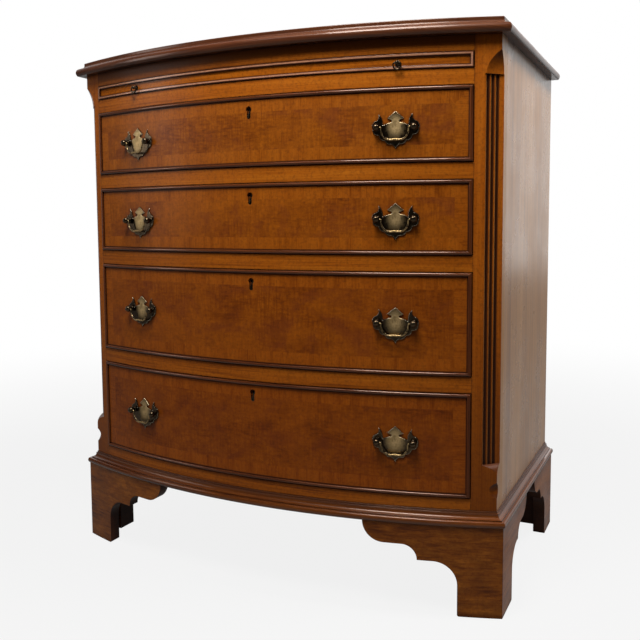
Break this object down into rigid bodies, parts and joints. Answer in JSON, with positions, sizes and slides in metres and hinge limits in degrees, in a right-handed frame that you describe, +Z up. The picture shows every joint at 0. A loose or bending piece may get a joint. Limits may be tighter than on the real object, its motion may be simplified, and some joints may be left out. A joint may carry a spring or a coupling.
{
  "type": "bow front chest of drawers",
  "caption": "Bow front mahogany chest of drawers with a brushing slide, fluted canted corners, a moulded top and base, bracket feet and batwing brass pulls.",
  "frame": {"origin": "middle of the footprint at floor level", "axes": "+Z up, the bowed front faces -Y, the width runs along X"},
  "size_m": [0.76, 0.455, 0.84],
  "materials": {
    "mahogany_top": "french polished, semi-gloss",
    "mahogany_case": "french polished, semi-gloss",
    "veneered_fronts": "figured veneer, french polished, semi-gloss",
    "cock_beading": "polished bead, semi-gloss",
    "oak_linings": "bare planed wood, matte",
    "pine_boards": "bare aged wood, matte",
    "antique_brass": "darkened antique brass, satin"
  },
  "bodies": {
    "case": {"top_board": "mahogany_top", "back_panel": "pine_boards", "bottom_board": "pine_boards", "base_front": "mahogany_case", "base_left": "mahogany_case", "base_right": "mahogany_case", "base_back": "pine_boards", "side_left": "mahogany_case", "side_right": "mahogany_case", "corner_post_left": "mahogany_case", "corner_post_right": "mahogany_case", "foot_front_left": "mahogany_case", "foot_front_right": "mahogany_case", "foot_back_left": "mahogany_case", "foot_back_right": "mahogany_case", "bottom_rail": "mahogany_case", "divider_rail_3": "mahogany_case", "divider_rail_2": "mahogany_case", "divider_rail_1": "mahogany_case", "slide_rail": "mahogany_case", "frieze_rail": "mahogany_case", "dust_boards": "oak_linings", "drawer_runners": "oak_linings"},
    "drawer_4": {"drawer_4_front": "veneered_fronts", "drawer_4_cock_bead": "cock_beading", "drawer_4_sides": "oak_linings", "drawer_4_back": "oak_linings", "drawer_4_bottom": "oak_linings", "drawer_4_fittings": "antique_brass"},
    "drawer_4_bail_left": {"drawer_4_bail_left": "antique_brass"},
    "drawer_4_bail_right": {"drawer_4_bail_right": "antique_brass"},
    "drawer_3": {"drawer_3_front": "veneered_fronts", "drawer_3_cock_bead": "cock_beading", "drawer_3_sides": "oak_linings", "drawer_3_back": "oak_linings", "drawer_3_bottom": "oak_linings", "drawer_3_fittings": "antique_brass"},
    "drawer_3_bail_left": {"drawer_3_bail_left": "antique_brass"},
    "drawer_3_bail_right": {"drawer_3_bail_right": "antique_brass"},
    "drawer_2": {"drawer_2_front": "veneered_fronts", "drawer_2_cock_bead": "cock_beading", "drawer_2_sides": "oak_linings", "drawer_2_back": "oak_linings", "drawer_2_bottom": "oak_linings", "drawer_2_fittings": "antique_brass"},
    "drawer_2_bail_left": {"drawer_2_bail_left": "antique_brass"},
    "drawer_2_bail_right": {"drawer_2_bail_right": "antique_brass"},
    "drawer_1": {"drawer_1_front": "veneered_fronts", "drawer_1_cock_bead": "cock_beading", "drawer_1_sides": "oak_linings", "drawer_1_back": "oak_linings", "drawer_1_bottom": "oak_linings", "drawer_1_fittings": "antique_brass"},
    "drawer_1_bail_left": {"drawer_1_bail_left": "antique_brass"},
    "drawer_1_bail_right": {"drawer_1_bail_right": "antique_brass"},
    "brushing_slide": {"slide_board": "mahogany_case", "slide_front": "mahogany_case", "slide_ring_posts": "antique_brass"},
    "slide_ring_left": {"slide_ring_left": "antique_brass"},
    "slide_ring_right": {"slide_ring_right": "antique_brass"}
  },
  "joints": [
    {"name": "drawer_4_slide", "type": "slide", "parent": "case", "child": "drawer_4", "axis": [0, -1, 0], "range_m": [0, 0.26]},
    {"name": "drawer_4_bail_left_swing", "type": "hinge", "parent": "drawer_4", "child": "drawer_4_bail_left", "pos_m": [-0.2267, -0.19851, 0.24785], "axis": [-0.9803, 0.1973, 0], "range_deg": [-15, 120]},
    {"name": "drawer_4_bail_right_swing", "type": "hinge", "parent": "drawer_4", "child": "drawer_4_bail_right", "pos_m": [0.2267, -0.19851, 0.24785], "axis": [-0.9803, -0.1973, 0], "range_deg": [-15, 120]},
    {"name": "drawer_3_slide", "type": "slide", "parent": "case", "child": "drawer_3", "axis": [0, -1, 0], "range_m": [0, 0.26]},
    {"name": "drawer_3_bail_left_swing", "type": "hinge", "parent": "drawer_3", "child": "drawer_3_bail_left", "pos_m": [-0.2267, -0.19851, 0.4204], "axis": [-0.9803, 0.1973, 0], "range_deg": [-15, 120]},
    {"name": "drawer_3_bail_right_swing", "type": "hinge", "parent": "drawer_3", "child": "drawer_3_bail_right", "pos_m": [0.2267, -0.19851, 0.4204], "axis": [-0.9803, -0.1973, 0], "range_deg": [-15, 120]},
    {"name": "drawer_2_slide", "type": "slide", "parent": "case", "child": "drawer_2", "axis": [0, -1, 0], "range_m": [0, 0.26]},
    {"name": "drawer_2_bail_left_swing", "type": "hinge", "parent": "drawer_2", "child": "drawer_2_bail_left", "pos_m": [-0.2267, -0.19851, 0.5677], "axis": [-0.9803, 0.1973, 0], "range_deg": [-15, 120]},
    {"name": "drawer_2_bail_right_swing", "type": "hinge", "parent": "drawer_2", "child": "drawer_2_bail_right", "pos_m": [0.2267, -0.19851, 0.5677], "axis": [-0.9803, -0.1973, 0], "range_deg": [-15, 120]},
    {"name": "drawer_1_slide", "type": "slide", "parent": "case", "child": "drawer_1", "axis": [0, -1, 0], "range_m": [0, 0.26]},
    {"name": "drawer_1_bail_left_swing", "type": "hinge", "parent": "drawer_1", "child": "drawer_1_bail_left", "pos_m": [-0.2267, -0.19851, 0.695], "axis": [-0.9803, 0.1973, 0], "range_deg": [-15, 120]},
    {"name": "drawer_1_bail_right_swing", "type": "hinge", "parent": "drawer_1", "child": "drawer_1_bail_right", "pos_m": [0.2267, -0.19851, 0.695], "axis": [-0.9803, -0.1973, 0], "range_deg": [-15, 120]},
    {"name": "brushing_slide_pull", "type": "slide", "parent": "case", "child": "brushing_slide", "axis": [0, -1, 0], "range_m": [0, 0.22]},
    {"name": "slide_ring_left_swing", "type": "hinge", "parent": "brushing_slide", "child": "slide_ring_left", "pos_m": [-0.22858, -0.19486, 0.78295], "axis": [-0.9799, 0.1995, 0], "range_deg": [-10, 100]},
    {"name": "slide_ring_right_swing", "type": "hinge", "parent": "brushing_slide", "child": "slide_ring_right", "pos_m": [0.22858, -0.19486, 0.78295], "axis": [-0.9799, -0.1995, 0], "range_deg": [-10, 100]}
  ]
}
